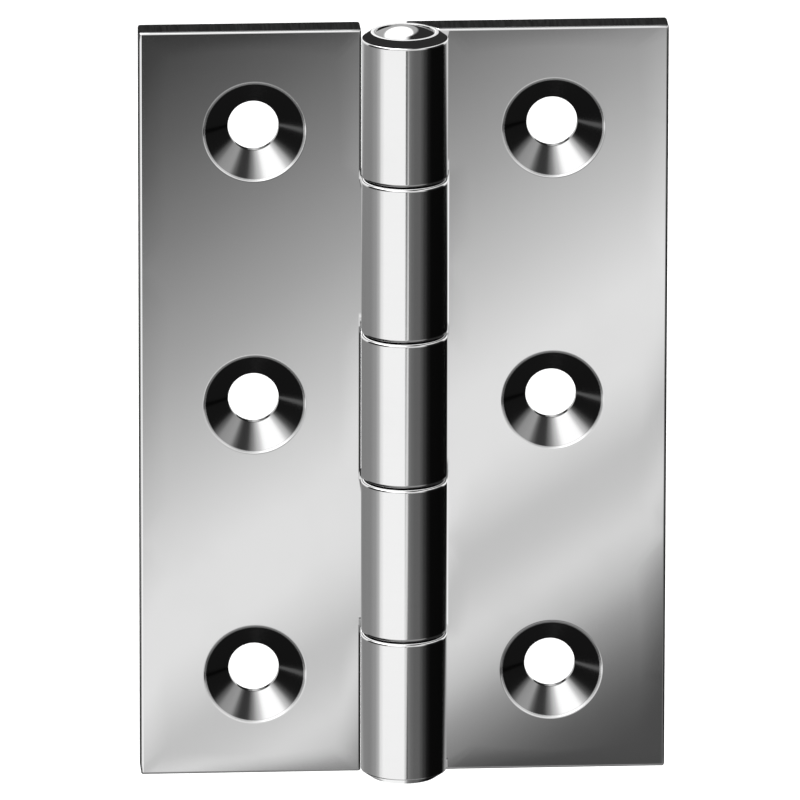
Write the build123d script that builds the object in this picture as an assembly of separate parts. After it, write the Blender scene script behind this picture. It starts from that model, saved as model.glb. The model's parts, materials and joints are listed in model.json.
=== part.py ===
from build123d import *
from math import radians, tan
import os

# Fixed-pin butt hinge, opened flat. Millimetres.
# The origin is on the pin's axis at mid height. +Z runs up the pin, -Y is the front, where the
# countersinks are, and the leaves lie to -X (left leaf, door side) and +X (right leaf, frame side).

# Leaves
leaf_height = 76.2
leaf_reach = 26.0  # pin axis to a leaf's outer edge
leaf_thickness = 3.2
leaf_setback = 1.0  # pin axis to a leaf's front face, half the gap between closed leaves
edge_bevel = 0.25

# Pin and barrel
pin_radius = 2.5
pin_running_clearance = 0.05  # in the left leaf, which turns on the pin
barrel_wall = 1.75
left_knuckle_length = 15.6
knuckle_gap = 0.25
knuckle_bevel = 0.2
swing_gap = 0.15  # beside a barrel, and between the leaves' backs when folded back square

# Barrel ends and the caps pressed into them
cap_shoulder = 0.42  # how much wider a cap is than the pin
cap_fit_clearance = 0.02
cap_seat_depth = 2.0
cap_edge_drop = 0.25  # the dome's edge lies this far below the barrel's end
cap_dome_rise = 0.75
end_rim = 0.4  # the flat ring between a cap and the bevel round the barrel's end
end_bevel_height = 0.65

# Screw holes
screw_hole_radius = 2.5
screw_end_distance = 10.25  # outer holes to the leaf's top and bottom edges
screw_edge_distance = 11.3  # all holes to the leaf's outer edge
countersink_radius = 4.8
countersink_angle = 90.0
countersink_rim = 0.25  # a flatter band round the countersink's mouth
countersink_rim_depth = 0.12

# Worked out from the sizes above
half_height = leaf_height / 2
plate_back = leaf_setback + leaf_thickness
barrel_radius = pin_radius + barrel_wall
plate_edge = max(barrel_radius, plate_back) + swing_gap
right_knuckle_length = (leaf_height - 2 * left_knuckle_length - 4 * knuckle_gap) / 3
cap_radius = pin_radius + cap_shoulder
seat_radius = cap_radius + cap_fit_clearance
seat_level = half_height - cap_seat_depth
end_bevel = barrel_radius - seat_radius - end_rim
screw_line = leaf_reach - screw_edge_distance
outer_screw = half_height - screw_end_distance
cut_margin = 1.0  # how far a cutting tool runs past what it cuts


def knuckle_spans():
    """(leaf, lowest z, highest z) of each knuckle, from the top down."""
    lengths = {"right": right_knuckle_length, "left": left_knuckle_length}
    spans = []
    top = half_height
    for leaf in ("right", "left", "right", "left", "right"):
        bottom = top - lengths[leaf]
        spans.append((leaf, bottom, top))
        top = bottom - knuckle_gap
    return spans


def block(low, high):
    """A box between two opposite corners."""
    size = [b - a for a, b in zip(low, high)]
    centre = [(a + b) / 2 for a, b in zip(low, high)]
    return Pos(*centre) * Box(*size)


def turned(profile):
    """A solid of revolution about the pin's axis from (radius, z) points."""
    outline = Plane.XZ * make_face(Polyline(*profile, close=True))
    return revolve(outline, Axis.Z)


def knuckle(bottom, top):
    """One barrel segment. A segment at the barrel's end has the wide end bevel on its outer rim."""
    at_bottom = bottom < -half_height + knuckle_gap / 2
    at_top = top > half_height - knuckle_gap / 2
    low_in, low_up = (end_bevel, end_bevel_height) if at_bottom else (knuckle_bevel,) * 2
    high_in, high_down = (end_bevel, end_bevel_height) if at_top else (knuckle_bevel,) * 2
    return turned(
        [
            (0, bottom),
            (barrel_radius - low_in, bottom),
            (barrel_radius, bottom + low_up),
            (barrel_radius, top - high_down),
            (barrel_radius - high_in, top),
            (0, top),
        ]
    )


def screw_cutter(x, z):
    """The space of one countersunk screw hole, open at the front and back."""
    cone_depth = (countersink_radius - screw_hole_radius) / tan(radians(countersink_angle / 2))
    front = leaf_setback
    rim_end = front + countersink_rim_depth
    profile = [
        (0, front - cut_margin),
        (countersink_radius + countersink_rim, front - cut_margin),
        (countersink_radius + countersink_rim, front),
        (countersink_radius, rim_end),
        (screw_hole_radius, rim_end + cone_depth),
        (screw_hole_radius, plate_back + cut_margin),
        (0, plate_back + cut_margin),
    ]
    face = Plane.XY * make_face(Polyline(*profile, close=True))
    return Pos(x, 0, z) * revolve(face, Axis.Y)


def notch(bottom, top):
    """What a plate loses beside the other leaf's knuckle, down to its own knuckles' ends."""
    low = bottom - (knuckle_gap if bottom > -half_height + knuckle_gap / 2 else cut_margin)
    high = top + (knuckle_gap if top < half_height - knuckle_gap / 2 else cut_margin)
    return block((-cut_margin, leaf_setback - cut_margin, low), (plate_edge, plate_back + cut_margin, high))


def cap_seat(end):
    """The round recess for a cap, open past the barrel's end. end is 1 at the top."""
    depth = cap_seat_depth + cut_margin
    return Pos(0, 0, end * (seat_level + depth / 2)) * Cylinder(seat_radius, depth)


def leaf(name, side):
    """One leaf: a plate, the knuckles that grow from it and its screw holes. side is -1 for left."""
    plate = block((0, leaf_setback, -half_height), (leaf_reach, plate_back, half_height))
    inner = plate.edges().filter_by(lambda e: e.bounding_box().max.X < cut_margin / 2)
    body = chamfer(plate.edges() - inner, edge_bevel)
    spans = knuckle_spans()
    for owner, bottom, top in spans:
        if owner != name:
            body -= notch(bottom, top)
    if side < 0:
        body = body.mirror(Plane.YZ)
    for owner, bottom, top in spans:
        if owner == name:
            body += knuckle(bottom, top)
    bore = pin_radius + (pin_running_clearance if side < 0 else 0.0)
    body -= Cylinder(bore, leaf_height + 2 * cut_margin)
    if side > 0:
        for end in (-1, 1):
            body -= cap_seat(end)
    for z in (outer_screw, 0, -outer_screw):
        body -= screw_cutter(side * screw_line, z)
    return body


def hinge_pin():
    """The plain round pin, from one cap seat to the other."""
    return Cylinder(pin_radius, 2 * seat_level)


def end_cap(end):
    """A domed plug pressed into the barrel's end over the pin."""
    crown = half_height - cap_edge_drop + cap_dome_rise
    dome_radius = (cap_radius**2 + cap_dome_rise**2) / (2 * cap_dome_rise)
    plug = Pos(0, 0, (seat_level + crown) / 2) * Cylinder(cap_radius, crown - seat_level)
    cap = plug & Pos(0, 0, crown - dome_radius) * Sphere(dome_radius)
    return cap if end > 0 else cap.mirror(Plane.XY)


def main():
    os.makedirs("parts", exist_ok=True)
    parts = {
        "left_leaf": leaf("left", -1),
        "right_leaf": leaf("right", 1),
        "hinge_pin": hinge_pin(),
        "top_end_cap": end_cap(1),
        "bottom_end_cap": end_cap(-1),
    }
    for name, part in parts.items():
        export_step(part, f"parts/{name}.step")


main()
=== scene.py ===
"""A fixed-pin butt hinge in polished chrome, opened flat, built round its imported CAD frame.

Metres throughout. The pin's axis is the Z axis, the countersunk front faces -Y, the left leaf
lies towards -X and the right leaf towards +X. Every shape is a numpy grid of points: a profile
carried round an axis, or carried along the outline of a plate.
"""

import json
import math

import bmesh
import bpy
import numpy as np
from bpy.props import FloatProperty, FloatVectorProperty, PointerProperty
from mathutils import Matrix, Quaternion, Vector


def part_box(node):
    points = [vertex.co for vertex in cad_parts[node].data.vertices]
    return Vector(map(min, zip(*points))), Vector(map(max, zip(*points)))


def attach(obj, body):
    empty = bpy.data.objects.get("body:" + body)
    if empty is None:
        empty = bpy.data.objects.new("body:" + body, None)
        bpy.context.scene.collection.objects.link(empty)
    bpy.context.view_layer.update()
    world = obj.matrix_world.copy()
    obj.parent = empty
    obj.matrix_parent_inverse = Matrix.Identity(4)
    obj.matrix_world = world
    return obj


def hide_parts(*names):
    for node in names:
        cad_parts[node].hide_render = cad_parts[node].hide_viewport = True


bl_info = {
    "name": "Butt hinge",
    "version": (1, 0, 0),
    "blender": (4, 5, 0),
    "location": "3D View > Sidebar > Butt hinge",
    "description": "Builds a five-knuckle butt hinge in polished chrome, and a studio to see it in",
    "category": "Add Mesh",
}

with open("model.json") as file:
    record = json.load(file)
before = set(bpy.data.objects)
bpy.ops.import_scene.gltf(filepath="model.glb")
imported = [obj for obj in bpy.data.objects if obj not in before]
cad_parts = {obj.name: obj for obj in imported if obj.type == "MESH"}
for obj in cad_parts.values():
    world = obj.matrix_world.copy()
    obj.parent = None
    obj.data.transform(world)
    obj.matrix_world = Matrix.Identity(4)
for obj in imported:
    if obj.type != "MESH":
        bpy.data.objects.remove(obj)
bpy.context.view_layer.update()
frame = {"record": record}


def frame_sizes():
    """The hinge's main sizes, read from the CAD nodes' boxes and the record's mounts."""
    low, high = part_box("right_leaf")
    pin_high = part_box("hinge_pin")[1]
    cap_low, cap_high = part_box("top_end_cap")
    mounts = {mount["name"]: mount for mount in frame["record"]["mounts"]}
    screws = mounts["right_leaf_outer_screws"]
    return {
        "height": high.z - low.z,
        "reach": high.x,
        "back": mounts["right_leaf_back"]["pos_m"][1],
        "barrel_radius": -low.y,
        "pin_radius": pin_high.x,
        "pin_end": pin_high.z,
        "cap_radius": cap_high.x,
        "cap_foot": cap_low.z,
        "cap_crown": cap_high.z,
        "screw_line": screws["pos_m"][0],
        "screw_spacing": screws["dims"]["spacing_y_mm"] / 1000,
        "hole_radius": screws["dims"]["hole_r_mm"] / 1000,
    }


FRAME_SIZES = frame_sizes()


def length(name, description, default):
    """A length property in metres."""
    return FloatProperty(
        name=name, description=description, default=default, min=0.0, precision=5, unit="LENGTH"
    )


def share(name, description, default, top=1.0):
    """A plain number property from 0 up to top."""
    return FloatProperty(name=name, description=description, default=default, min=0.0, max=top)


def colour(name, description, default):
    """A colour property."""
    return FloatVectorProperty(
        name=name, description=description, default=default, size=3, subtype="COLOR", min=0, max=1
    )


class HingeSizes(bpy.types.PropertyGroup):
    """Sizes of the hinge. The first ones come from the CAD frame."""

    height: length("Height", "Both leaves, top to bottom", FRAME_SIZES["height"])
    reach: length("Reach", "Pin axis to a leaf's outer edge", FRAME_SIZES["reach"])
    back: length("Back", "Pin axis to the leaves' back faces", FRAME_SIZES["back"])
    barrel_radius: length("Barrel radius", "Outside of the knuckles", FRAME_SIZES["barrel_radius"])
    pin_radius: length("Pin radius", "Radius of the pin", FRAME_SIZES["pin_radius"])
    pin_end: length("Pin end", "Mid height to the pin's ends", FRAME_SIZES["pin_end"])
    cap_radius: length("Cap radius", "Radius of the end caps", FRAME_SIZES["cap_radius"])
    cap_foot: length("Cap foot", "Mid height to a cap's inner end", FRAME_SIZES["cap_foot"])
    cap_crown: length("Cap crown", "Mid height to the top of a cap", FRAME_SIZES["cap_crown"])
    screw_line: length("Screw line", "Pin axis to the screw holes", FRAME_SIZES["screw_line"])
    screw_spacing: length(
        "Screw spacing", "Between the outer holes", FRAME_SIZES["screw_spacing"]
    )
    hole_radius: length("Hole radius", "Radius of the screw holes", FRAME_SIZES["hole_radius"])
    setback: length("Setback", "Pin axis to the leaves' front faces", 0.001)
    swing_gap: length("Swing gap", "Between the leaves when one is turned square back", 0.00001)
    edge_round: length("Edge round", "Rounding of the leaves' edges", 0.00025)
    left_knuckle: length("Left knuckle", "Length of the left leaf's knuckles", 0.0156)
    knuckle_gap: length("Knuckle gap", "Between two knuckles", 0.00025)
    knuckle_round: length("Knuckle round", "Rounding of the knuckles' ends", 0.0002)
    end_bevel: length("End bevel", "Height of the bevel round the barrel's ends", 0.00065)
    end_rim: length("End rim", "Width of the bead round an end cap", 0.0004)
    cap_play: length("Cap play", "Gap round an end cap", 0.00002)
    cap_drop: length("Cap drop", "A dome's edge below the barrel's end", 0.00025)
    sink_radius: length("Countersink radius", "Radius of a countersink's mouth", 0.0048)
    sink_rim: length("Countersink rim", "Width of the band round a countersink", 0.00025)
    sink_rim_depth: length("Rim depth", "Depth of the band round a countersink", 0.00012)


class HingeFinish(bpy.types.PropertyGroup):
    """Colours and polish of the metal."""

    chrome: colour("Chrome", "Colour of the polished chrome", (0.80, 0.80, 0.80))
    # Painted shade: a darker chrome laid into the countersinks, their rims and the cap seats, for
    # the shade in those hollows
    painted_recess_shade: colour("Dark plating", "Colour inside the countersinks", (0.26, 0.26, 0.26))
    # Painted shade: the near-black, non-metal colour of the leaves' side faces and the knuckles'
    # ends stands in for the dark they show and the shade in the gaps between knuckles
    sheared: colour("Sheared edge", "Colour of the leaves' side faces", (0.011, 0.011, 0.011))
    steel: colour("Pin steel", "Colour of the pin", (0.55, 0.55, 0.56))
    polish: share("Polish", "Roughness of the polished faces", 0.022)
    barrel_polish: share("Barrel polish", "Roughness of the turned barrel", 0.06)
    satin: share("Satin", "Roughness of the unpolished backs and rims", 0.38)


class StageSettings(bpy.types.PropertyGroup):
    """Camera and light."""

    azimuth: FloatProperty(
        name="Azimuth",
        description="Camera's turn about the hinge from straight in front",
        default=math.radians(-3.5),
        subtype="ANGLE",
    )
    elevation: FloatProperty(
        name="Elevation",
        description="Camera's height above level",
        default=math.radians(16.5),
        subtype="ANGLE",
    )
    distance: length("Distance", "Camera to the aiming point", 1.6)
    aim_right: FloatProperty(
        name="Aim right",
        description="Aiming point right of the origin as the camera sees it",
        default=-0.00042,
        unit="LENGTH",
        precision=5,
    )
    aim_up: FloatProperty(
        name="Aim up",
        description="Aiming point above the origin as the camera sees it",
        default=0.00050,
        unit="LENGTH",
        precision=5,
    )
    roll: FloatProperty(
        name="Roll",
        description="Camera's turn about its own line of sight",
        default=math.radians(0.1),
        subtype="ANGLE",
    )
    lens: FloatProperty(name="Lens", description="Focal length, millimetres", default=731.0)
    floor_drop: length("Floor drop", "Origin down to the floor", 0.34)
    card_distance: length("Card distance", "Hinge to the light card its leaves show", 0.8)


# ---------------------------------------------------------------- shapes

# What a point's finish can be, each from 0 to 1. Two marks paint shade into the colour: dark in
# the hollows, and the one for the leaves' side faces and the knuckles' ends. Turned says which way
# its polishing lines run.
MARKS = ("worn", "dark", "sheared", "satin", "turned")

WELD = 1e-6  # points closer than this are one point
SAME_LEVEL = 1e-9  # levels closer than this are one level

# A strap's end inside its knuckle's wall, from the pin's axis, at the front and at the back
STRAP_END_FRONT = 0.0033
STRAP_END_BACK = 0.0003

BORE_PLAY = {"left": 0.00005, "right": 0.00001}  # the left leaf turns on the pin


def layout(sizes):
    """Lengths worked out from the sizes: plate edge, half height, knuckle spans, hole levels."""
    half = sizes.height / 2
    right = (sizes.height - 2 * sizes.left_knuckle - 4 * sizes.knuckle_gap) / 3
    lengths = np.array([right, sizes.left_knuckle, right, sizes.left_knuckle, right])
    tops = half - np.concatenate([[0.0], np.cumsum(lengths + sizes.knuckle_gap)[:-1]])
    spans = np.stack([tops - lengths, tops], axis=1)
    return {
        "half": half,
        "plate_edge": sizes.back + sizes.swing_gap,
        "spans": {"right": spans[0::2], "left": spans[1::2]},
        "holes": np.array([1.0, 0.0, -1.0]) * sizes.screw_spacing / 2,
    }


def finish_grid(points, **marks):
    """A grid of points with its finish marks on each point, 0 where none is given."""
    marked = {
        name: np.broadcast_to(np.asarray(marks.get(name, 0.0), float), points.shape[:2])
        for name in MARKS
    }
    return points, marked


def make_piece(name, grids, flip=False):
    """One mesh object from several point grids, whose shared borders are merged into closed shells.

    Each grid of rows by columns becomes (rows-1) by (columns-1) quads. flip mirrors x.
    """
    points, quads, marks, start = [], [], {mark: [] for mark in MARKS}, 0
    for grid, marked in grids:
        rows, cols = grid.shape[:2]
        index = np.arange(rows * cols).reshape(rows, cols) + start
        corners = (index[:-1, :-1], index[1:, :-1], index[1:, 1:], index[:-1, 1:])
        quads.append(np.stack(corners, axis=-1).reshape(-1, 4))
        points.append(grid.reshape(-1, 3))
        for mark in MARKS:
            marks[mark].append(marked[mark].reshape(-1))
        start += rows * cols
    points = np.concatenate(points)
    if flip:
        points = points * np.array([-1.0, 1.0, 1.0])
    mesh = bpy.data.meshes.new(name)
    mesh.from_pydata(points, [], np.concatenate(quads))
    for mark in MARKS:
        values = np.concatenate(marks[mark]).astype(np.float32)
        mesh.attributes.new(mark, "FLOAT", "POINT").data.foreach_set("value", values)
    shell = bmesh.new()
    shell.from_mesh(mesh)
    bmesh.ops.remove_doubles(shell, verts=shell.verts, dist=WELD)
    bmesh.ops.dissolve_degenerate(shell, edges=shell.edges, dist=WELD / 10)
    bmesh.ops.recalc_face_normals(shell, faces=shell.faces)
    shell.to_mesh(mesh)
    shell.free()
    mesh.shade_smooth()
    mesh.update()
    piece = bpy.data.objects.new(name, mesh)
    bpy.context.scene.collection.objects.link(piece)
    weighted = piece.modifiers.new("Flat faces keep their normals", "WEIGHTED_NORMAL")
    weighted.weight = 100
    weighted.keep_sharp = False
    return piece


def rounded(corners, radii, steps=6, closed=False):
    """A path through corner points with each corner rounded by an arc of its own radius.

    The arc touches both neighbouring runs: its centre lies on the corner's bisector at
    radius / sin(half the corner's angle), and its points turn evenly from one run to the other.
    """
    corners = np.asarray(corners, float)
    radii = np.maximum(np.asarray(radii, float), 1e-9)
    before = np.roll(corners, 1, axis=0) - corners
    after = np.roll(corners, -1, axis=0) - corners
    if not closed:
        before[0] = -after[0]
        after[-1] = -before[-1]
    before /= np.linalg.norm(before, axis=1, keepdims=True)
    after /= np.linalg.norm(after, axis=1, keepdims=True)
    half = np.arccos(np.clip((before * after).sum(axis=1), -1, 1)) / 2
    straight = half > math.pi / 2 - 1e-6
    half = np.where(straight, math.pi / 4, half)
    bisector = before + after
    bisector = np.where(straight[:, None], 1.0, bisector)
    bisector /= np.linalg.norm(bisector, axis=1, keepdims=True)
    centre = corners + bisector * (radii / np.sin(half))[:, None]
    first = corners + before * (radii / np.tan(half))[:, None] - centre
    last = corners + after * (radii / np.tan(half))[:, None] - centre
    turn = math.pi - 2 * half
    t = np.linspace(0, 1, steps + 1)
    a = np.sin((1 - t)[None, :] * turn[:, None]) / np.sin(turn)[:, None]
    b = np.sin(t[None, :] * turn[:, None]) / np.sin(turn)[:, None]
    arcs = centre[:, None] + a[..., None] * first[:, None] + b[..., None] * last[:, None]
    arcs = np.where(straight[:, None, None], corners[:, None], arcs)
    path = arcs.reshape(-1, 2)
    on_arc = np.repeat(~straight, steps + 1)
    apart = np.linalg.norm(path - np.roll(path, 1, axis=0), axis=1) > 1e-8
    apart[0] = True
    path, on_arc = path[apart], on_arc[apart]
    if closed:
        path = np.concatenate([path, path[:1]])
        on_arc = np.concatenate([on_arc, on_arc[:1]])
    return path, on_arc.astype(float)


def with_supports(path, on_arc, reach):
    """The same path with an extra point close to both ends of every run longer than three reaches.

    The extra points keep the worn look of a rounded corner from spreading over the run.
    """
    start, end = path[:-1], path[1:]
    run = np.linalg.norm(end - start, axis=1)
    step = (end - start) * (reach / np.maximum(run, 1e-12))[:, None]
    rows = np.stack([start, start + step, end - step], axis=1)
    worn = np.stack([on_arc[:-1], 0 * on_arc[:-1], 0 * on_arc[:-1]], axis=1)
    keep = np.stack([run > -1, run > 3 * reach, run > 3 * reach], axis=1)
    path = np.concatenate([rows[keep], path[-1:]])
    return path, np.concatenate([worn[keep], on_arc[-1:]])


def turned_grid(path, segments=128):
    """The surface of a (radius, z) path turned about the pin's axis.

    A point at angle a is (radius cos a, radius sin a, z).
    """
    angle = np.linspace(0, 2 * math.pi, segments + 1)
    radius, level = path[:, 0][:, None], path[:, 1][:, None]
    return np.stack(
        [radius * np.cos(angle), radius * np.sin(angle), level + 0 * angle], axis=-1
    )


def edge_profile(sizes, steps=6):
    """The section across a leaf's edge, as (outward, y) points, and the marks along it.

    A quarter circle from the front face to the side face, the side face, and a quarter circle
    to the back face.
    """
    r = sizes.edge_round
    turn = np.linspace(0, math.pi / 2, steps + 1)
    front = np.stack([r * np.sin(turn), sizes.setback + r * (1 - np.cos(turn))], axis=1)
    back = np.stack([r * np.cos(turn), sizes.back - r * (1 - np.sin(turn))], axis=1)
    side = np.array([[r, sizes.setback + 1.5 * r], [r, sizes.back - 1.5 * r]])
    path = np.concatenate([front, side, back])
    worn = np.concatenate([np.sin(2 * turn), [0.0, 0.0], 0.5 * np.sin(2 * turn)])
    # Painted shade: the side face and the corners next to it take the near-black cut-face colour
    sheared = np.concatenate([turn > 1.3, [1.0, 1.0], turn < 0.3]).astype(float)
    satin = np.concatenate([0 * turn, [0.0, 0.0], turn > 1.2]).astype(float)
    return path, worn, sheared, satin


def hole_profile(sizes):
    """The section through a screw hole, as (radius, y) points, and the marks along it.

    From the front face down the shallow band, the countersink's 45 degree cone and the straight
    hole, and out over the back face.
    """
    mouth = sizes.sink_radius + sizes.sink_rim
    rim_end = sizes.setback + sizes.sink_rim_depth
    cone_end = rim_end + sizes.sink_radius - sizes.hole_radius
    flat_round = 0.0006  # flat face kept round the hole, at the front and the back
    corners = [
        (mouth + flat_round, sizes.setback),
        (mouth, sizes.setback),
        (sizes.sink_radius, rim_end),
        (sizes.hole_radius, cone_end),
        (sizes.hole_radius, sizes.back),
        (sizes.hole_radius + flat_round, sizes.back),
    ]
    path, _ = rounded(corners, [0, 0.00010, 0.00008, 0.00015, 0.00012, 0], steps=5)
    path, _ = with_supports(path, np.zeros(len(path)), 0.00008)
    radius, level = path[:, 0], path[:, 1]
    inside = radius < mouth - 0.00003
    band = inside & (radius > sizes.sink_radius + 0.00004)
    # Painted shade: the cone and the hole are fully darkened and the band round the mouth partly,
    # for the shade in the countersink
    band_painted_shade, band_satin = 0.35, 0.6
    dark = np.where(inside & ~band & (level < sizes.back - 0.0002), 1.0, band_painted_shade * band)
    satin = np.where(level > sizes.back - 0.0001, 1.0, band_satin * band)
    return path, dark, satin


def plate_grids(sizes, side):
    """One leaf's plate and the straps that run from it into its own knuckles, as closed grids.

    Worked out for a leaf that lies towards +x. The front and back faces are three cells, one for
    each hole: a cell is a loop of points that goes straight from the cell's square border to the
    hole's circle, and the hole's section is carried round that circle. The edges are the edge
    section carried along the plate's outline.
    """
    plan = layout(sizes)
    r, half = sizes.edge_round, plan["half"]
    near, far = plan["plate_edge"] + r, sizes.reach - r
    top = half - r
    clear = 0.00003  # a strap stops this far short of its knuckle's ends
    spans = plan["spans"][side].copy()
    at_top = np.abs(spans[:, 1] - half) < WELD
    at_bottom = np.abs(spans[:, 0] + half) < WELD
    spans[:, 0] += np.where(at_bottom, 0, clear)
    spans[:, 1] -= np.where(at_top, 0, clear)
    quarter = sizes.screw_spacing / 4
    count = 24  # quads along each side of a cell
    borders = np.array([top, quarter, -quarter, -top])
    levels = np.concatenate(
        [np.linspace(borders[i], borders[i + 1], count + 1)[:-1] for i in range(3)] + [[-top]]
    )
    for level in np.concatenate([spans[:, 0] + r, spans[:, 1] - r]):
        levels[np.argmin(np.abs(levels - level))] = level
    across = np.linspace(far, near, count + 1)
    grids = []

    hole_path, hole_painted_shade, hole_satin = hole_profile(sizes)
    angle = math.radians(45) + np.linspace(0, 2 * math.pi, 4 * count + 1)
    blend = np.array([0.0, 0.4, 0.75, 0.94])[:, None]  # loops from the border to the hole
    for cell, hole in enumerate(plan["holes"]):
        down = levels[cell * count : (cell + 1) * count + 1]
        x = np.concatenate([across[:-1], 0 * down[:-1] + near, across[::-1][:-1], 0 * down + far])
        z = np.concatenate(
            [0 * across[:-1] + down[0], down[:-1], 0 * across[:-1] + down[-1], down[::-1]]
        )
        radius, depth = hole_path[:, 0][:, None], hole_path[:, 1][:, None]
        ring_x = sizes.screw_line + radius * np.cos(angle)
        ring_z = hole + radius * np.sin(angle)
        front_x = x + (ring_x[0] - x) * blend
        front_z = z + (ring_z[0] - z) * blend
        back_x = (x + (ring_x[-1] - x) * blend)[::-1]
        back_z = (z + (ring_z[-1] - z) * blend)[::-1]
        grid_x = np.concatenate([front_x, ring_x, back_x])
        grid_z = np.concatenate([front_z, ring_z, back_z])
        edge = np.ones((len(blend), 1))
        grid_y = np.concatenate([edge * sizes.setback, depth, edge * sizes.back]) + 0 * grid_x
        flat = np.zeros(len(blend))
        grids.append(
            finish_grid(
                np.stack([grid_x, grid_y, grid_z], axis=-1),
                # Painted shade in the countersinks, carried by the dark mark
                dark=np.concatenate([flat, hole_painted_shade, flat])[:, None],
                satin=np.concatenate([flat, hole_satin, flat + 1])[:, None],
            )
        )

    path, worn, sheared, satin = edge_profile(sizes)
    out, depth = path[:, 0][:, None], path[:, 1][:, None]

    def inner_end(y):
        """Where a strap ends inside its knuckle's wall: a slanted line, near at the back."""
        depth_share = (y - sizes.setback) / (sizes.back - sizes.setback)
        return STRAP_END_FRONT + (STRAP_END_BACK - STRAP_END_FRONT) * depth_share

    def edge_run(base_x, base_z, turn_x, turn_z, slide=0.0):
        """The edge section carried along stations: base point plus direction times outward."""
        x = base_x + turn_x * out
        x = x + slide * (inner_end(depth) - x)
        z = base_z + turn_z * out + 0 * x
        points = np.stack([x + 0 * z, depth + 0 * x, z], axis=-1)
        marks = [m[:, None] for m in (worn, sheared, satin)]
        grids.append(finish_grid(points, worn=marks[0], sheared=marks[1], satin=marks[2]))

    fan = np.linspace(0, math.pi / 2, 7)
    edge_run(across, top, 0 * across, 1.0)
    edge_run(across, -top, 0 * across, -1.0)
    edge_run(far, levels, 1.0 + 0 * levels, 0.0)
    edge_run(far, top, np.cos(fan), np.sin(fan))
    edge_run(far, -top, np.cos(fan), -np.sin(fan))
    if not at_top.any():
        edge_run(near, top, -np.cos(fan), np.sin(fan))
        edge_run(near, -top, -np.cos(fan), -np.sin(fan))
    straps = np.stack([spans[:, 1] - r, spans[:, 0] + r], axis=1).ravel()
    limits = np.concatenate([[top], straps, [-top]])
    for high, low in limits.reshape(-1, 2):
        if high - low > WELD:
            notch = levels[(levels <= high + SAME_LEVEL) & (levels >= low - SAME_LEVEL)]
            edge_run(near, notch, -1.0 + 0 * notch, 0.0)
            grids[-1] = mitred_ends(
                grids[-1], high < top - SAME_LEVEL, low > -top + SAME_LEVEL, out[:, 0]
            )
    slide = np.linspace(0, 1, 6)
    for (low, high), low_end, high_end in zip(spans, at_bottom, at_top):
        edge_run(near, high - r, 0.0 if high_end else -1.0, 1.0, slide)
        edge_run(near, low + r, 0.0 if low_end else -1.0, -1.0, slide)
        strap = levels[(levels <= high - r + SAME_LEVEL) & (levels >= low + r - SAME_LEVEL)]
        part = (strap - strap[-1]) / (strap[0] - strap[-1])
        for y, mark in ((sizes.setback, 0.0), (sizes.back, 1.0)):
            x = near + slide * (inner_end(y) - near)
            flat = np.stack(np.broadcast_arrays(x[None, :], y, strap[:, None]), axis=-1)
            grids.append(finish_grid(flat, satin=mark))
        z = (low + r - out) + part * (high - low - 2 * r + 2 * out)
        end = np.stack(np.broadcast_arrays(inner_end(depth), depth, z), axis=-1)
        grids.append(finish_grid(end))
    return grids


def mitred_ends(grid, first, last, out):
    """Mitres a notch's edge at its inside corners, where the outline turns by 90 degrees.

    The end station draws back along z by as much as the section stands outward.
    """
    points, marks = grid
    points = points.copy()
    if first:
        points[:, 0, 2] -= out
    if last:
        points[:, -1, 2] += out
    return points, marks


def knuckle_grid(sizes, low, high, play):
    """One knuckle: a closed (radius, z) outline with rounded corners, turned about the pin.

    A knuckle at the barrel's end has a wide bevel, a bead and the seat of its end cap.
    """
    half = sizes.height / 2
    outer, inner = sizes.barrel_radius, sizes.pin_radius + play
    seat = sizes.cap_radius + sizes.cap_play
    bead = seat + sizes.end_rim
    small, bore_round = sizes.knuckle_round, 0.0001
    seat_round, lip_round, bead_round, foot_round = 0.00005, 0.00004, 0.00010, 0.00004

    def end(level, sign):
        """Corners and roundings of one end, from the bore outwards. sign is 1 at the top."""
        if abs(sign * level - half) > WELD:
            return [(inner, level), (outer, level)], [bore_round, small]
        points = [
            (inner, sign * sizes.cap_foot),
            (seat, sign * sizes.cap_foot),
            (seat, level),
            (bead, level),
            (outer, level - sign * sizes.end_bevel),
        ]
        bevel_round = small if sign > 0 else foot_round
        return points, [seat_round, seat_round, lip_round, bead_round, bevel_round]

    low_points, low_radii = end(low, -1)
    high_points, high_radii = end(high, 1)
    corners = low_points + high_points[::-1]
    path, on_arc = rounded(corners, low_radii + high_radii[::-1], steps=6, closed=True)
    path, worn = with_supports(path, on_arc, 0.0001)
    radius, level = path[:, 0], path[:, 1]
    # Painted shade: the knuckles' ends and bores take the near-black cut-face colour, for the shade
    # in the gaps between knuckles
    gap_and_bore_shade = (radius < outer - small - 0.00002) & (np.abs(level) < half - 0.001)
    # Painted shade: the cap's seat inside the barrel's end is darkened a little, for the shade in
    # that recess
    seat_shade = (np.abs(level) > half - 0.0004) & (radius < seat + 0.00003)
    worn = worn * (radius > outer - 0.0004)
    return finish_grid(
        turned_grid(path),
        worn=worn[:, None],
        dark=0.3 * seat_shade[:, None],
        sheared=gap_and_bore_shade[:, None],
        turned=1.0,
    )


def pin_grid(sizes):
    """The pin: a straight rod with rounded ends, its (radius, z) section turned about its axis."""
    end = sizes.pin_end - 0.00002
    corners = [(0, -end), (sizes.pin_radius, -end), (sizes.pin_radius, end), (0, end)]
    path, on_arc = rounded(corners, [0, 0.0003, 0.0003, 0], steps=6)
    path, worn = with_supports(path, on_arc, 0.0003)
    return finish_grid(turned_grid(path, 96), worn=0.5 * worn[:, None], turned=1.0)


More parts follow.
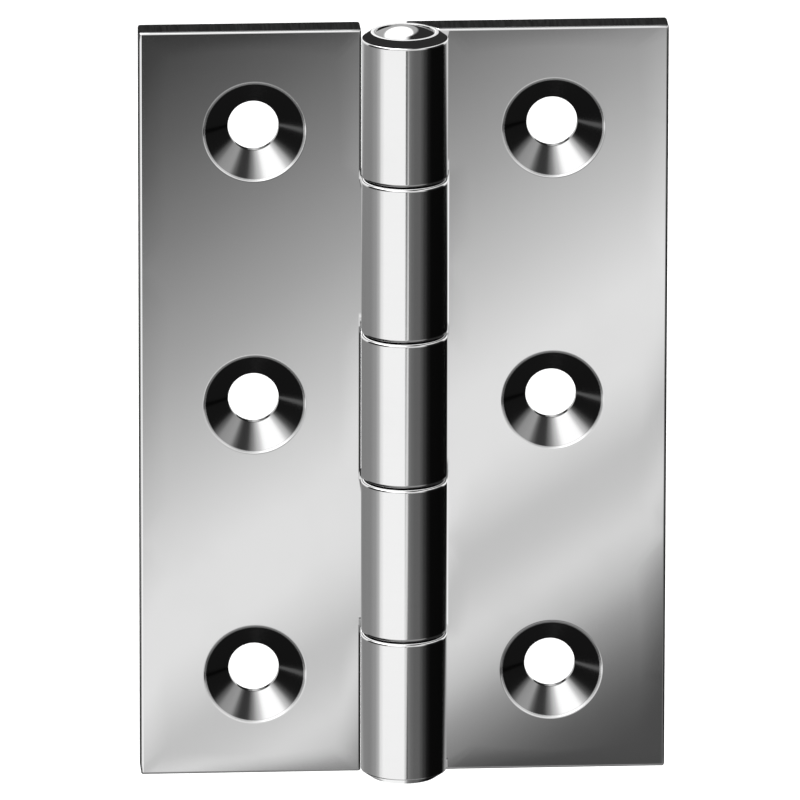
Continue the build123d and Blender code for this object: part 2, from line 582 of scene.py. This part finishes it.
def cap_grid(sizes, sign):
    """An end cap: a plug with a shallow dome, turned about the pin's axis.

    The dome is part of a sphere of radius (c*c + h*h) / 2h for a cap of radius c and rise h,
    from its edge to a closed pole. A small round joins it to the plug.
    """
    edge = sizes.height / 2 - sizes.cap_drop
    rise = sizes.cap_crown - edge
    ball = (sizes.cap_radius**2 + rise**2) / (2 * rise)
    slope = np.linspace(math.asin(sizes.cap_radius / ball), 0, 33)[1:]
    dome = np.stack([ball * np.sin(slope), sizes.cap_crown - ball * (1 - np.cos(slope))], axis=1)
    plug = [(0, sizes.cap_foot), (sizes.cap_radius, sizes.cap_foot), (sizes.cap_radius, edge)]
    path, _ = rounded(plug + [tuple(dome[0])], [0, 0.0001, 0.00006, 0], steps=5)
    path, _ = with_supports(path, np.zeros(len(path)), 0.0001)
    path = np.concatenate([path, dome[1:]])
    return finish_grid(turned_grid(path * np.array([1.0, sign])), turned=1.0)


# ---------------------------------------------------------------- materials


class Graph:
    """Short ways to add nodes to a material's or the world's node tree."""

    def __init__(self, tree):
        self.tree = tree
        tree.nodes.clear()

    def add(self, kind, **settings):
        """A new node with settings and, by name or number, input values or links."""
        node = self.tree.nodes.new(kind)
        inputs = settings.pop("inputs", {})
        for key, value in settings.items():
            setattr(node, key, value)
        for key, value in inputs.items():
            self.feed(node.inputs[key], value)
        return node

    def feed(self, socket, value):
        """Links a socket into an input, or sets a plain value on it."""
        if isinstance(value, bpy.types.NodeSocket):
            self.tree.links.new(value, socket)
        else:
            socket.default_value = value

    def math(self, operation, *values, clamp=False):
        """A math node's result."""
        inputs = dict(enumerate(values))
        node = self.add("ShaderNodeMath", operation=operation, use_clamp=clamp, inputs=inputs)
        return node.outputs[0]

    def vector(self, operation, *values, out=0):
        """A vector math node's result."""
        inputs = dict(enumerate(values))
        return self.add("ShaderNodeVectorMath", operation=operation, inputs=inputs).outputs[out]

    def parts(self, vector):
        """The x, y and z of a vector."""
        return self.add("ShaderNodeSeparateXYZ", inputs={0: vector}).outputs

    def smooth(self, value, start, end):
        """Rises smoothly from 0 at start to 1 at end, or falls where start is above end."""
        flip = start > end
        low, high = (end, start) if flip else (start, end)
        node = self.add(
            "ShaderNodeMapRange",
            interpolation_type="SMOOTHSTEP",
            inputs={0: value, 1: low, 2: high, 3: 1.0 if flip else 0.0, 4: 0.0 if flip else 1.0},
        )
        return node.outputs[0]

    def between(self, value, outer_low, low, high, outer_high):
        """1 from low to high, smoothly falling to 0 at the outer limits."""
        rise = self.smooth(value, outer_low, low)
        return self.math("MULTIPLY", rise, self.smooth(value, outer_high, high))

    def blend(self, mix, a, b):
        """a where mix is 0, b where it is 1."""
        node = self.add("ShaderNodeMix", data_type="FLOAT", inputs={0: mix, 2: a, 3: b})
        return node.outputs[0]

    def ramp(self, value, stops, interpolation="EASE"):
        """Grey levels read off a ramp of (place, level) stops, places from 0 to 1."""
        node = self.add("ShaderNodeValToRGB", inputs={0: value})
        ramp = node.color_ramp
        ramp.interpolation = interpolation
        for place, _ in stops[1:-1]:
            ramp.elements.new(place)
        for element, (place, level) in zip(ramp.elements, stops):
            element.position = place
            element.color = (level, level, level, 1)
        return node.outputs[0]


def mix_colour(graph, mix, a, b):
    """Colour a where mix is 0, b where it is 1."""
    node = graph.add("ShaderNodeMix", data_type="RGBA")
    for index, value in ((0, mix), (6, a), (7, b)):
        if not isinstance(value, bpy.types.NodeSocket) and index > 0:
            value = (*value, 1.0)
        graph.feed(node.inputs[index], value)
    return node.outputs[2]


def plated_metal(name, base, finish, polish, turned_polish):
    """Polished plate: fine lines, faint smudges, satin backs, and painted shade.

    Straight lines run up the plates, and lines run round whatever is turned. Painted shade darkens
    the countersinks and the caps' seats, and the cut faces are painted near black with shade,
    streaked, dull and not metal to the light.
    """
    material = bpy.data.materials.new(name)
    material.use_nodes = True
    graph = Graph(material.node_tree)
    mark = {
        key: graph.add("ShaderNodeAttribute", attribute_name=key).outputs["Fac"] for key in MARKS
    }
    place = graph.add("ShaderNodeTexCoord").outputs["Object"]

    def noise(scale, detail, stretch):
        """A noise whose grains are drawn out by the stretch on each axis."""
        moved = graph.add("ShaderNodeMapping", inputs={0: place, 3: stretch})
        node = graph.add(
            "ShaderNodeTexNoise", inputs={0: moved.outputs[0], 2: scale, 3: detail, 4: 0.6}
        )
        return node.outputs[0]

    up_lines = noise(1000.0, 3.0, (6.0, 6.0, 0.12))
    round_lines = noise(1000.0, 3.0, (0.15, 0.15, 7.0))
    lines = graph.blend(mark["turned"], up_lines, round_lines)
    smudges = noise(90.0, 4.0, (1.0, 1.0, 1.0))
    clouds = noise(260.0, 5.0, (1.0, 1.0, 0.6))
    pits = graph.smooth(noise(1900.0, 2.0, (1.0, 1.0, 1.0)), 0.78, 0.84)

    # Roughness: smudges, lines and pits add a little to the polish, and each mark has its own.
    smudge = graph.smooth(smudges, 0.45, 0.75)
    spread = graph.blend(mark["turned"], polish, turned_polish)
    for pattern, added in ((smudge, 0.012), (lines, 0.012), (pits, 0.05)):
        spread = graph.math("MULTIPLY_ADD", pattern, added, spread)
    for key, roughness in (("worn", 0.08), ("dark", 0.16), ("sheared", 0.45)):
        spread = graph.blend(mark[key], spread, roughness)
    satin = graph.math("MULTIPLY_ADD", clouds, 0.10, finish.satin - 0.05)
    spread = graph.blend(mark["satin"], spread, satin)

    # Colour: nearly even, with painted shade in the countersinks and the caps' seats, and
    # near-black painted shade on the cut faces, streaked like a torn shear.
    tone = graph.math("MULTIPLY_ADD", lines, 0.030, 0.985)
    for pattern, added in ((smudge, -0.012), (pits, -0.06)):
        tone = graph.math("MULTIPLY_ADD", pattern, added, tone)
    colour_with_shade = mix_colour(graph, mark["dark"], tuple(base), tuple(finish.painted_recess_shade))
    streaks = graph.smooth(noise(1000.0, 3.0, (5.0, 0.2, 5.0)), 0.3, 0.7)
    lighter = tuple(2 * c for c in finish.sheared)
    streaked_shade = mix_colour(graph, streaks, tuple(finish.sheared), lighter)
    colour_with_shade = mix_colour(graph, mark["sheared"], colour_with_shade, streaked_shade)
    toned = graph.vector("SCALE", colour_with_shade)
    graph.feed(toned.node.inputs["Scale"], tone)

    # Relief: the lines, a grainy satin coat and the pits.
    coat = graph.math("MULTIPLY", clouds, mark["satin"])
    height = graph.math("ADD", lines, graph.math("MULTIPLY", coat, 6.0))
    height = graph.math("MULTIPLY_ADD", pits, -3.0, height)
    relief = {"Strength": 1.0, "Distance": 4e-8, "Height": height}
    bump = graph.add("ShaderNodeBump", inputs=relief)
    # The painted-shade cut faces aren't metal, so they stay dark to the light
    shader = graph.add(
        "ShaderNodeBsdfPrincipled",
        inputs={
            "Base Color": toned,
            "Metallic": graph.math("SUBTRACT", 1.0, mark["sheared"]),
            "Roughness": spread,
            "Specular IOR Level": 0.0,
            "Normal": bump.outputs[0],
        },
    )
    out = graph.add("ShaderNodeOutputMaterial")
    graph.feed(out.inputs["Surface"], shader.outputs[0])
    return material


def ground_steel(name, base):
    """Ground steel for the pin: grinding lines round it, darker where oil has collected."""
    material = bpy.data.materials.new(name)
    material.use_nodes = True
    graph = Graph(material.node_tree)
    place = graph.add("ShaderNodeTexCoord").outputs["Object"]
    stretched = graph.add("ShaderNodeMapping", inputs={0: place, 3: (0.2, 0.2, 9.0)})
    lines = graph.add(
        "ShaderNodeTexNoise", inputs={0: stretched.outputs[0], 2: 900.0, 3: 4.0}
    ).outputs[0]
    oil = graph.add("ShaderNodeTexNoise", inputs={0: place, 2: 220.0, 3: 3.0}).outputs[0]
    film = graph.smooth(oil, 0.4, 0.7)
    darker = tuple(0.55 * c for c in base)
    tint = mix_colour(graph, film, tuple(base), darker)
    spread = graph.math("MULTIPLY_ADD", lines, 0.18, 0.22)
    relief = {"Strength": 1.0, "Distance": 4e-7, "Height": lines}
    bump = graph.add("ShaderNodeBump", inputs=relief)
    shader = graph.add(
        "ShaderNodeBsdfPrincipled",
        inputs={
            "Base Color": tint,
            "Metallic": 1.0,
            "Roughness": spread,
            "Normal": bump.outputs[0],
        },
    )
    out = graph.add("ShaderNodeOutputMaterial")
    graph.feed(out.inputs["Surface"], shader.outputs[0])
    return material


# ---------------------------------------------------------------- studio


def grey(value):
    """Linear brightness of a panel that chrome of colour 0.8 shows as a display grey 0 to 255."""
    v = value / 255
    linear = v / 12.92 if v <= 0.04045 else ((v + 0.055) / 1.055) ** 2.4
    return linear / 0.8


# (place across the barrel from 0 at its left side to 1 at its right, brightness)
BARREL_PANELS = [
    (0.0, grey(122)), (0.10, grey(128)), (0.165, grey(145)), (0.20, grey(170)),
    (0.235, grey(225)), (0.27, grey(241)), (0.500, grey(241)), (0.515, grey(215)),
    (0.527, grey(182)), (0.555, grey(116)), (0.59, grey(100)), (0.625, grey(92)), (0.675, grey(90)),
    (0.70, grey(75)), (0.735, grey(50)), (0.776, grey(22)), (0.811, grey(8)), (1.0, grey(6)),
]

# (place down the sloping band from the leaves' top left to their bottom right, brightness)
LEAF_BAND = [
    (0.0, grey(54)), (0.048, grey(64)), (0.14, grey(95)), (0.232, grey(127)), (0.338, grey(161)),
    (0.44, grey(195)), (0.53, grey(223)), (0.60, grey(224)), (0.642, grey(208)),
    (0.672, grey(190)), (0.70, grey(194)), (0.742, grey(214)), (0.781, grey(192)),
    (0.816, grey(149)), (0.854, grey(116)), (0.89, grey(90)), (0.93, grey(74)), (1.0, grey(70)),
]

# (place round the compass from behind, over the left, brightness as a share of the strongest)
SINK_PANELS = [
    (0.0, 0.006), (0.335, 0.006), (0.355, 0.10), (0.375, 0.26), (0.415, 0.30), (0.43, 0.10),
    (0.445, 0.03), (0.475, 0.03), (0.492, 0.18), (0.515, 0.5), (0.54, 1.0), (0.60, 1.0),
    (0.62, 0.5), (0.65, 0.05), (0.67, 0.006), (1.0, 0.006),
]

# (place from straight down to straight up, brightness)
ROOM_LIGHT = [
    (0.0, 0.02), (0.30, 0.03), (0.42, 0.08), (0.47, 0.35), (0.53, 0.70), (0.60, 0.9),
    (0.70, 1.1), (1.0, 1.0),
]

# Brightness of the studio's plain parts
DARK_FLAG = 0.03
PLAIN_LIGHT = 0.4
DOME_SURROUND = 0.46
DOME_PANEL = 1.5
OVERHEAD_STRENGTH = 4.0  # of the panels seen in the countersinks
WALL_WHITE = 1.0  # what the camera sees behind the hinge
FILL_WHITE = 1.05  # what lights everything that isn't metal

# The light card: how far it reaches past the leaves, and its band's place for a point of the
# leaves, (middle - up * z + right * x) / span
CARD_PAST_SIDES = 0.010
CARD_PAST_ENDS = 0.012
BAND_MIDDLE, BAND_UP, BAND_RIGHT, BAND_SPAN = 0.5675, 9.74, 6.35, 1.13


def grid_mesh(name, grid):
    """A plain mesh from one grid of points."""
    rows, cols = grid.shape[:2]
    index = np.arange(rows * cols).reshape(rows, cols)
    corners = (index[:-1, :-1], index[1:, :-1], index[1:, 1:], index[:-1, 1:])
    mesh = bpy.data.meshes.new(name)
    mesh.from_pydata(grid.reshape(-1, 3), [], np.stack(corners, axis=-1).reshape(-1, 4))
    return mesh


def camera_axes(stage):
    """Unit vectors from the hinge to the camera, and to the camera's right and up."""
    a, e = stage.azimuth, stage.elevation
    back = Vector((math.sin(a) * math.cos(e), -math.cos(a) * math.cos(e), math.sin(e)))
    right = Vector((math.cos(a), math.sin(a), 0.0))
    return back, right, back.cross(right)


def studio_light(world, stage):
    """The light round the hinge, as brightness in each direction.

    Soft panels and dark flags stand round the hinge. Each is laid out by the slope of the metal
    that shows it from the front: half way between the panel's direction and the camera's.
    """
    back, right, _ = camera_axes(stage)
    world.use_nodes = True
    graph = Graph(world.node_tree)
    toward = graph.add("ShaderNodeTexCoord").outputs["Generated"]
    halfway = graph.vector("ADD", toward, tuple(back))
    slope = graph.vector("NORMALIZE", halfway)
    nx, ny, nz = graph.parts(slope)

    # Panels seen in the upright faces of the barrel, left to right across it. The slope's level
    # part is kept just over 0, because it is divided by.
    side = graph.vector("DOT_PRODUCT", slope, tuple(right), out=1)
    level = graph.math("SQRT", graph.math("SUBTRACT", 1.0001, graph.math("MULTIPLY", nz, nz)))
    across = graph.math("DIVIDE", side, level)
    across = graph.math("MULTIPLY_ADD", across, 0.5, 0.5)
    barrel = graph.ramp(across, BARREL_PANELS)

    # Panels overhead, seen in the lower half of the countersinks and along the upper edges.
    turn = graph.math("ARCTAN2", graph.math("MULTIPLY", nx, -1.0), nz)
    turn = graph.math("MULTIPLY_ADD", turn, 0.5 / math.pi, 0.5)
    sinks = graph.math("MULTIPLY", graph.ramp(turn, SINK_PANELS), OVERHEAD_STRENGTH)

    def from_point(x, y, wide=1.0, deep=1.0):
        """How far a slope is from (x, y), in shares of an ellipse's half width and half depth."""
        dx = graph.math("DIVIDE", graph.math("SUBTRACT", nx, x), wide)
        dy = graph.math("DIVIDE", graph.math("SUBTRACT", ny, y), deep)
        squares = (graph.math("MULTIPLY", dx, dx), graph.math("MULTIPLY", dy, dy))
        return graph.math("SQRT", graph.math("ADD", *squares))

    # The round panel seen in the domed caps, and the dark flag to its right.
    away = from_point(-0.11, -0.22, 0.24, 0.28)
    dome = graph.blend(graph.smooth(away, 1.05, 0.85), DOME_SURROUND, DOME_PANEL)
    outside = graph.smooth(from_point(-0.09, -0.08), 0.27, 0.31)
    to_right = graph.smooth(nx, -0.05, 0.08)
    dome = graph.blend(graph.math("MULTIPLY", outside, to_right), dome, DARK_FLAG)

    # Lay the parts over each other, from the general light of the room to the nearest panel.
    room = graph.ramp(graph.math("MULTIPLY_ADD", nz, 0.5, 0.5), ROOM_LIGHT, "LINEAR")
    below, in_front = graph.smooth(nz, -0.12, -0.24), graph.smooth(ny, -0.80, -0.88)
    light = graph.blend(graph.math("MULTIPLY", below, in_front), room, PLAIN_LIGHT)
    cones = graph.between(ny, -0.93, -0.86, -0.52, -0.44)
    light = graph.blend(cones, light, sinks)
    end_bevels, domes = graph.smooth(nz, 0.735, 0.765), graph.smooth(nz, 0.862, 0.885)
    light = graph.blend(end_bevels, light, DARK_FLAG)
    light = graph.blend(domes, light, dome)
    upright = graph.between(nz, -0.045, -0.025, 0.025, 0.045)
    light = graph.blend(upright, light, barrel)
    lower_bevel = graph.smooth(nz, -0.74, -0.78)
    light = graph.blend(lower_bevel, light, barrel)

    # Straight behind the hinge, where no slope is defined, the light is plain.
    behind = graph.smooth(graph.vector("LENGTH", halfway, out=1), 0.26, 0.12)
    light = graph.blend(behind, light, PLAIN_LIGHT)

    # The room's walls are plain white to the camera, and even to anything that isn't metal.
    path = graph.add("ShaderNodeLightPath").outputs
    light = graph.blend(path["Is Diffuse Ray"], light, FILL_WHITE)
    light = graph.blend(path["Is Camera Ray"], light, WALL_WHITE)
    sky = graph.add("ShaderNodeBackground", inputs={"Color": light, "Strength": 1.0})
    out = graph.add("ShaderNodeOutputWorld")
    graph.feed(out.inputs["Surface"], sky.outputs[0])


def light_card(stage, sizes):
    """The card whose sloping bands of light show in the flat leaves.

    It stands where the leaves mirror it to the camera. A point p of the leaves' front plane shows
    the card's point q = m + (p - m)(1 + k), with m the camera's mirror image in that plane and k
    the card's distance as a share of the camera's. The bands slope up to the right.
    """
    back, right, up = camera_axes(stage)
    eye = right * stage.aim_right + up * stage.aim_up + back * stage.distance
    mirrored = np.array([eye.x, 2 * sizes.setback - eye.y, eye.z])
    x = np.linspace(-1, 1, 9)[:, None] * (sizes.reach + CARD_PAST_SIDES)
    z = np.linspace(-1, 1, 9)[None, :] * (sizes.height / 2 + CARD_PAST_ENDS)
    plane = np.stack(np.broadcast_arrays(x, sizes.setback, z), axis=-1)
    grid = mirrored + (plane - mirrored) * (1 + stage.card_distance / stage.distance)
    mesh = grid_mesh("light card", grid)
    sweep = (BAND_MIDDLE - BAND_UP * plane[..., 2] + BAND_RIGHT * plane[..., 0]) / BAND_SPAN
    attribute = mesh.attributes.new("sweep", "FLOAT", "POINT")
    attribute.data.foreach_set("value", sweep.reshape(-1).astype(np.float32))
    material = bpy.data.materials.new("light card")
    material.use_nodes = True
    graph = Graph(material.node_tree)
    place = graph.add("ShaderNodeAttribute", attribute_name="sweep").outputs["Fac"]
    glow = graph.add("ShaderNodeEmission", inputs={0: graph.ramp(place, LEAF_BAND, "LINEAR")})
    out = graph.add("ShaderNodeOutputMaterial")
    graph.feed(out.inputs["Surface"], glow.outputs[0])
    mesh.materials.append(material)
    card = bpy.data.objects.new("light card", mesh)
    bpy.context.scene.collection.objects.link(card)
    card.visible_camera = card.visible_diffuse = card.visible_shadow = False


# ---------------------------------------------------------------- operators

CAP_POLISH = 0.05  # roughness of the end caps
FLOOR_REACH = 4.0  # half the floor's width
PAPER_GLOW = 0.1  # lifts the floor's shadows


def place_piece(piece, body, node, material):
    """Gives a piece its material, and tells the frame what it rides on and stands for.

    The pieces mirror the studio only, and not each other.
    """
    piece.data.materials.append(material)
    piece.visible_glossy = False
    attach(piece, body)
    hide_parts(node)


def make_leaf(context, side, body):
    """One leaf with its knuckles. The left leaf is the same layout mirrored in x."""
    sizes, finish = context.scene.hinge_sizes, context.scene.hinge_finish
    spans = layout(sizes)["spans"][side]
    grids = plate_grids(sizes, side)
    grids += [knuckle_grid(sizes, low, high, BORE_PLAY[side]) for low, high in spans]
    piece = make_piece(f"{side}_leaf_polished", grids, flip=side == "left")
    metal = plated_metal(
        f"{side} leaf chrome", finish.chrome, finish, finish.polish, finish.barrel_polish
    )
    place_piece(piece, body, f"{side}_leaf", metal)


class HINGE_OT_left_leaf(bpy.types.Operator):
    """Build the left leaf, which turns with the door"""

    bl_idname = "hinge.left_leaf"
    bl_label = "Left leaf"

    def execute(self, context):
        make_leaf(context, "left", "door_side")
        return {"FINISHED"}


class HINGE_OT_right_leaf(bpy.types.Operator):
    """Build the right leaf, which stays with the frame"""

    bl_idname = "hinge.right_leaf"
    bl_label = "Right leaf"

    def execute(self, context):
        make_leaf(context, "right", "frame_side")
        return {"FINISHED"}


class HINGE_OT_pin(bpy.types.Operator):
    """Build the plain pin through the knuckles"""

    bl_idname = "hinge.pin"
    bl_label = "Hinge pin"

    def execute(self, context):
        scene = context.scene
        piece = make_piece("hinge_pin_ground", [pin_grid(scene.hinge_sizes)])
        metal = ground_steel("ground pin steel", scene.hinge_finish.steel)
        place_piece(piece, "frame_side", "hinge_pin", metal)
        return {"FINISHED"}


class HINGE_OT_end_caps(bpy.types.Operator):
    """Build the two domed caps that close the barrel's ends"""

    bl_idname = "hinge.end_caps"
    bl_label = "End caps"

    def execute(self, context):
        sizes, finish = context.scene.hinge_sizes, context.scene.hinge_finish
        metal = plated_metal("cap chrome", finish.chrome, finish, CAP_POLISH, CAP_POLISH)
        for end, sign in (("top", 1.0), ("bottom", -1.0)):
            piece = make_piece(f"{end}_cap_domed", [cap_grid(sizes, sign)])
            place_piece(piece, "frame_side", f"{end}_end_cap", metal)
        return {"FINISHED"}


class HINGE_OT_stage(bpy.types.Operator):
    """Set the floor, the light and the camera"""

    bl_idname = "hinge.stage"
    bl_label = "Stage"

    def execute(self, context):
        scene = context.scene
        stage, sizes = scene.hinge_stage, scene.hinge_sizes
        reach = np.linspace(-FLOOR_REACH, FLOOR_REACH, 3)
        x, y = np.meshgrid(reach, reach, indexing="ij")
        grid = np.stack([x, y, 0 * x - stage.floor_drop], axis=-1)
        mesh = grid_mesh("floor", grid)
        floor = bpy.data.objects.new("floor", mesh)
        scene.collection.objects.link(floor)
        floor.visible_glossy = False
        paper = bpy.data.materials.new("pale paper")
        paper.use_nodes = True
        shader = paper.node_tree.nodes["Principled BSDF"]
        shader.inputs["Base Color"].default_value = (0.9, 0.9, 0.9, 1.0)
        shader.inputs["Roughness"].default_value = 1.0
        shader.inputs["Specular IOR Level"].default_value = 0.0
        shader.inputs["Emission Color"].default_value = (1.0, 1.0, 1.0, 1.0)
        shader.inputs["Emission Strength"].default_value = PAPER_GLOW
        mesh.materials.append(paper)

        light_card(stage, sizes)
        world = bpy.data.worlds.new("studio")
        scene.world = world
        studio_light(world, stage)

        back, right, up = camera_axes(stage)
        camera = bpy.data.cameras.new("camera")
        camera.lens = stage.lens
        camera.sensor_width = 36.0  # millimetres, as the lens
        camera.clip_start, camera.clip_end = 0.01, 50.0
        holder = bpy.data.objects.new("camera", camera)
        scene.collection.objects.link(holder)
        holder.location = right * stage.aim_right + up * stage.aim_up + back * stage.distance
        holder.rotation_mode = "QUATERNION"
        level = (-back).to_track_quat("-Z", "Y")
        holder.rotation_quaternion = level @ Quaternion((0.0, 0.0, 1.0), stage.roll)
        scene.camera = holder
        scene.view_settings.view_transform = "Standard"
        return {"FINISHED"}


class HINGE_PT_build(bpy.types.Panel):
    """Buttons for every piece and the stage, and the sizes and colours they use"""

    bl_label = "Butt hinge"
    bl_idname = "HINGE_PT_build"
    bl_space_type = "VIEW_3D"
    bl_region_type = "UI"
    bl_category = "Butt hinge"

    def draw(self, context):
        for operator in OPERATORS:
            self.layout.operator(operator.bl_idname)
        for group in (
            context.scene.hinge_sizes,
            context.scene.hinge_finish,
            context.scene.hinge_stage,
        ):
            box = self.layout.box()
            for name in group.__annotations__:
                box.prop(group, name)


OPERATORS = (
    HINGE_OT_left_leaf,
    HINGE_OT_right_leaf,
    HINGE_OT_pin,
    HINGE_OT_end_caps,
    HINGE_OT_stage,
)
GROUPS = {"hinge_sizes": HingeSizes, "hinge_finish": HingeFinish, "hinge_stage": StageSettings}


def register():
    """Registers the property groups, the operators and the panel."""
    for name, group in GROUPS.items():
        bpy.utils.register_class(group)
        setattr(bpy.types.Scene, name, PointerProperty(type=group))
    for operator in OPERATORS:
        bpy.utils.register_class(operator)
    bpy.utils.register_class(HINGE_PT_build)


def unregister():
    """Takes away what register added, in the opposite order."""
    bpy.utils.unregister_class(HINGE_PT_build)
    for operator in reversed(OPERATORS):
        bpy.utils.unregister_class(operator)
    for name, group in reversed(GROUPS.items()):
        delattr(bpy.types.Scene, name)
        bpy.utils.unregister_class(group)


def main():
    """Builds every piece and the stage."""
    register()
    bpy.ops.hinge.left_leaf()
    bpy.ops.hinge.right_leaf()
    bpy.ops.hinge.pin()
    bpy.ops.hinge.end_caps()
    bpy.ops.hinge.stage()


if __name__ == "__main__":
    main()
